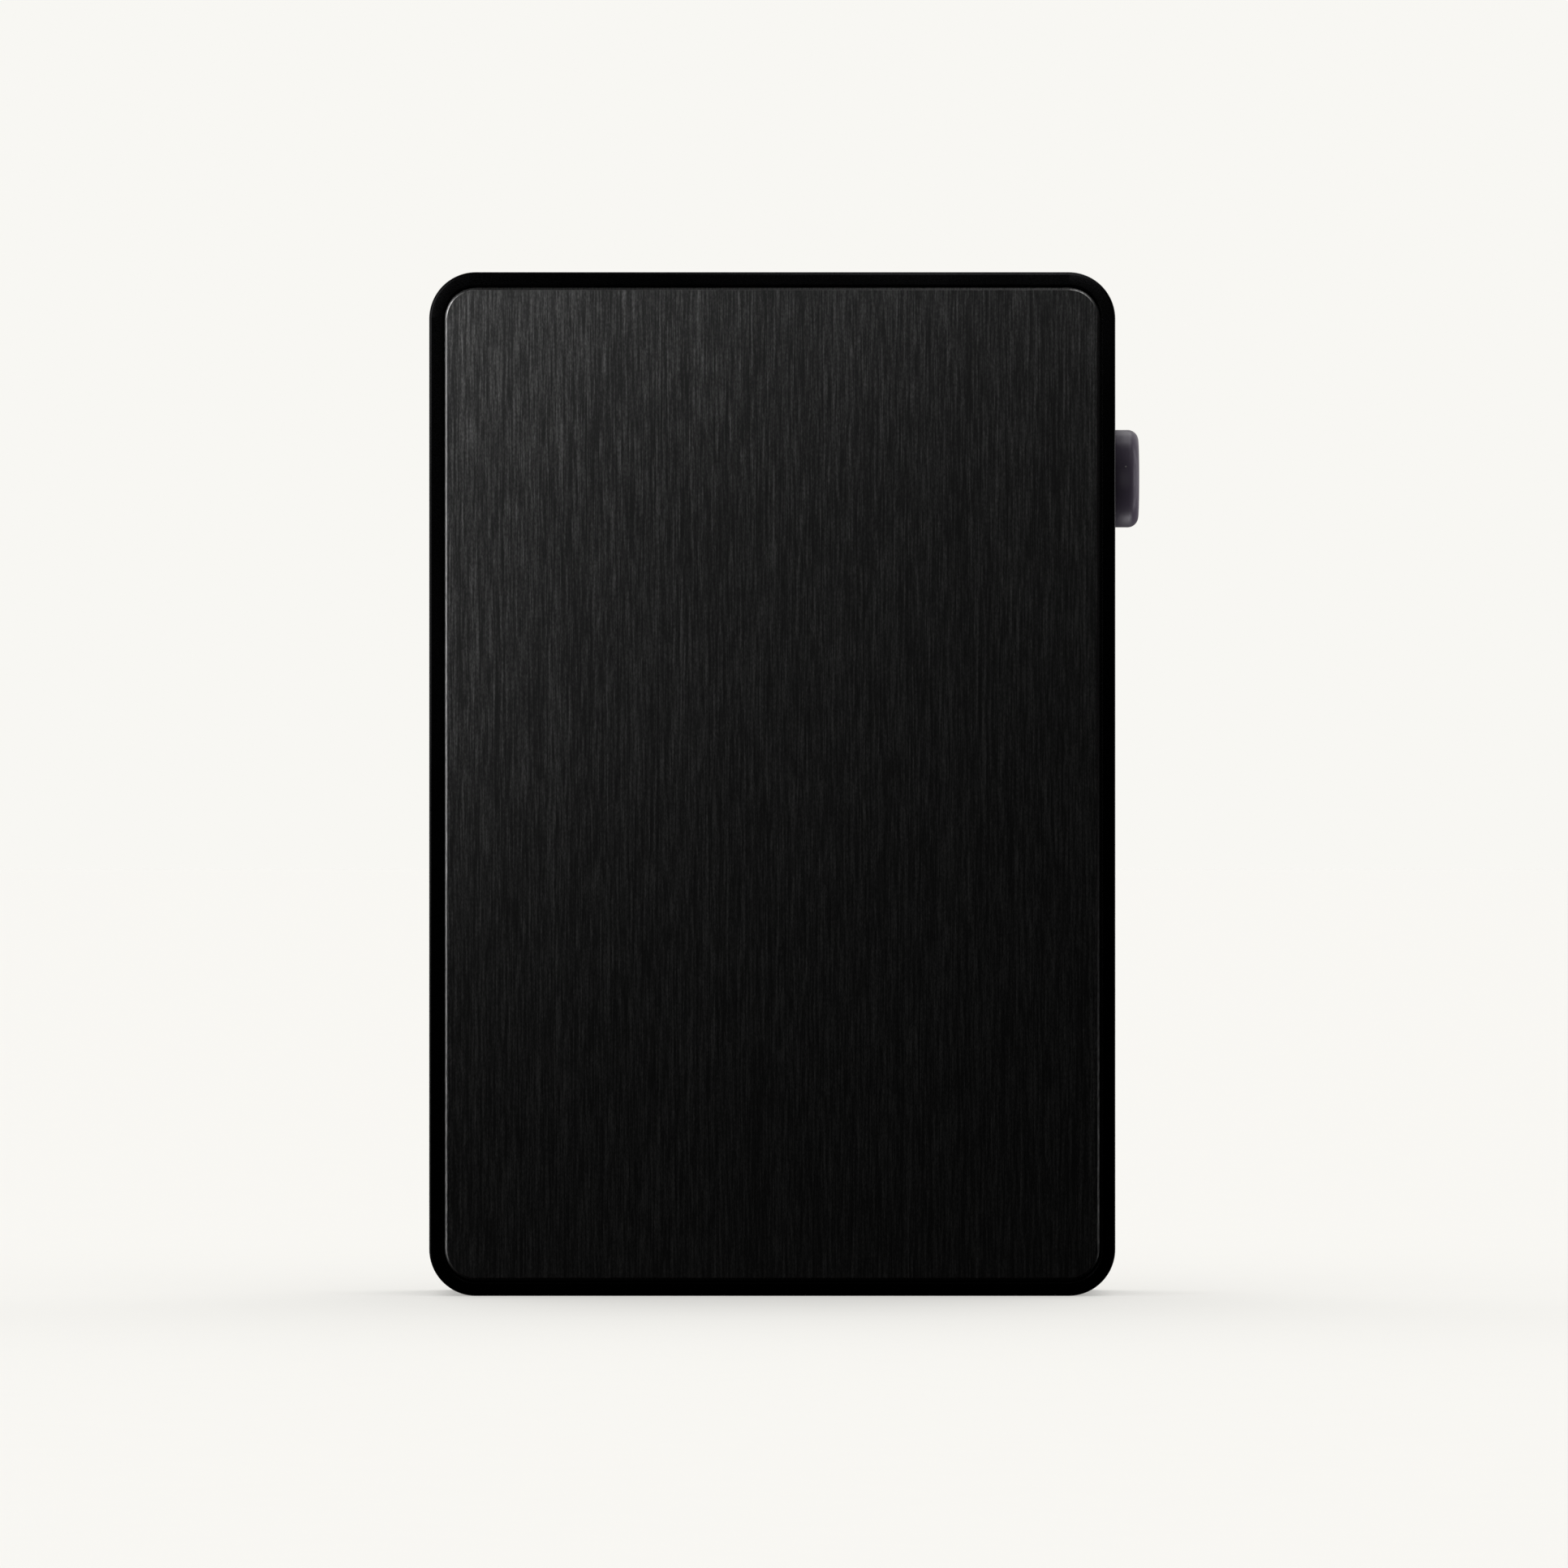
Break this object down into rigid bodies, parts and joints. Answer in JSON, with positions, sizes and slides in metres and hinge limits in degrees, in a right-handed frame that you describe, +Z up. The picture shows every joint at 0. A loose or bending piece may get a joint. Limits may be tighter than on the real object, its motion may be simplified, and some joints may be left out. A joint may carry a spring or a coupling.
{
  "type": "digital audio player",
  "caption": "Pocket digital audio player with a brushed back plate, a glass front, a side volume knob, side keys and a card tray.",
  "frame": {"origin": "centre of the flat bottom edge that the player stands on, without the knob", "axes": "+Z up the player's long side, +Y out of the screen, -Y out of the brushed back plate, +X towards the side with the volume knob"},
  "size_m": [0.0653, 0.015, 0.094],
  "materials": {
    "frame_black": "satin",
    "brushed_black": "satin",
    "knob_satin": "satin",
    "cover_glass": "gloss",
    "panel_dark": "gloss",
    "tape_black": "matte",
    "stamped_steel": "satin",
    "backlight_frame": "satin",
    "screw_steel": "satin",
    "cast_alloy": "matte",
    "cell_wrap": "satin",
    "board_black": "satin",
    "chip_epoxy": "matte",
    "moulded_black": "satin",
    "gilt_brass": "satin",
    "flex_amber": "satin",
    "card_black": "satin"
  },
  "bodies": {
    "player": {"audio_capacitor_1": "stamped_steel", "audio_capacitor_2": "stamped_steel", "back_plate": "brushed_black", "back_tape": "tape_black", "balanced_collar": "gilt_brass", "balanced_socket": "moulded_black", "battery_cell": "cell_wrap", "battery_connector": "moulded_black", "battery_lead": "flex_amber", "battery_pad": "tape_black", "board_link_flex": "flex_amber", "board_screw_1": "screw_steel", "board_screw_2": "screw_steel", "board_screw_3": "screw_steel", "body_frame": "frame_black", "card_reader": "stamped_steel", "chassis_screw_1": "screw_steel", "chassis_screw_2": "screw_steel", "chassis_screw_3": "screw_steel", "chassis_screw_4": "screw_steel", "converter_shield": "stamped_steel", "display_backlight": "backlight_frame", "display_flex": "flex_amber", "display_panel": "panel_dark", "encoder_bushing": "gilt_brass", "encoder_housing": "stamped_steel", "front_glass": "cover_glass", "glass_tape": "tape_black", "headphone_amplifier_chip": "chip_epoxy", "headphone_collar": "gilt_brass", "headphone_socket": "moulded_black", "key_board": "board_black", "left_converter_chip": "chip_epoxy", "main_board": "board_black", "memory_chip": "chip_epoxy", "mid_chassis": "cast_alloy", "next_switch": "stamped_steel", "play_switch": "stamped_steel", "port_board": "board_black", "port_screw_1": "screw_steel", "port_screw_2": "screw_steel", "power_chip": "chip_epoxy", "previous_switch": "stamped_steel", "processor_chip": "chip_epoxy", "processor_shield": "stamped_steel", "right_converter_chip": "chip_epoxy", "usb_shell": "stamped_steel", "usb_tongue": "moulded_black"},
    "knob_slider": {"encoder_slider": "moulded_black"},
    "knob": {"volume_knob": "knob_satin", "knob_shaft": "screw_steel"},
    "rotor": {"encoder_rotor": "moulded_black"},
    "previous_button": {"previous_key": "knob_satin", "previous_plunger": "gilt_brass"},
    "play_button": {"play_key": "knob_satin", "play_plunger": "gilt_brass"},
    "next_button": {"next_key": "knob_satin", "next_plunger": "gilt_brass"},
    "tray": {"card_tray": "frame_black", "memory_card": "card_black"}
  },
  "joints": [
    {"name": "knob_press", "type": "slide", "parent": "player", "child": "knob_slider", "axis": [-1, 0, 0], "range_m": [0, 0.0004], "stiffness_N_per_m": 4000, "springref_m": -0.0003},
    {"name": "knob_turn", "type": "hinge", "parent": "knob_slider", "child": "knob", "pos_m": [0.0312, 0, 0.0752], "axis": [1, 0, 0], "continuous": true},
    {"name": "rotor_turn", "type": "hinge", "parent": "player", "child": "rotor", "pos_m": [0.0257, 0, 0.0752], "axis": [1, 0, 0], "continuous": true},
    {"name": "previous_press", "type": "slide", "parent": "player", "child": "previous_button", "axis": [1, 0, 0], "range_m": [0, 0.0003], "stiffness_N_per_m": 3000, "springref_m": -0.0002},
    {"name": "play_press", "type": "slide", "parent": "player", "child": "play_button", "axis": [1, 0, 0], "range_m": [0, 0.0003], "stiffness_N_per_m": 3000, "springref_m": -0.0002},
    {"name": "next_press", "type": "slide", "parent": "player", "child": "next_button", "axis": [1, 0, 0], "range_m": [0, 0.0003], "stiffness_N_per_m": 3000, "springref_m": -0.0002},
    {"name": "tray_slide", "type": "slide", "parent": "player", "child": "tray", "axis": [-1, 0, 0], "range_m": [0, 0.0178]}
  ],
  "couplings": [
    {"joint": "rotor_turn", "follows": "knob_turn", "ratio": 1}
  ]
}
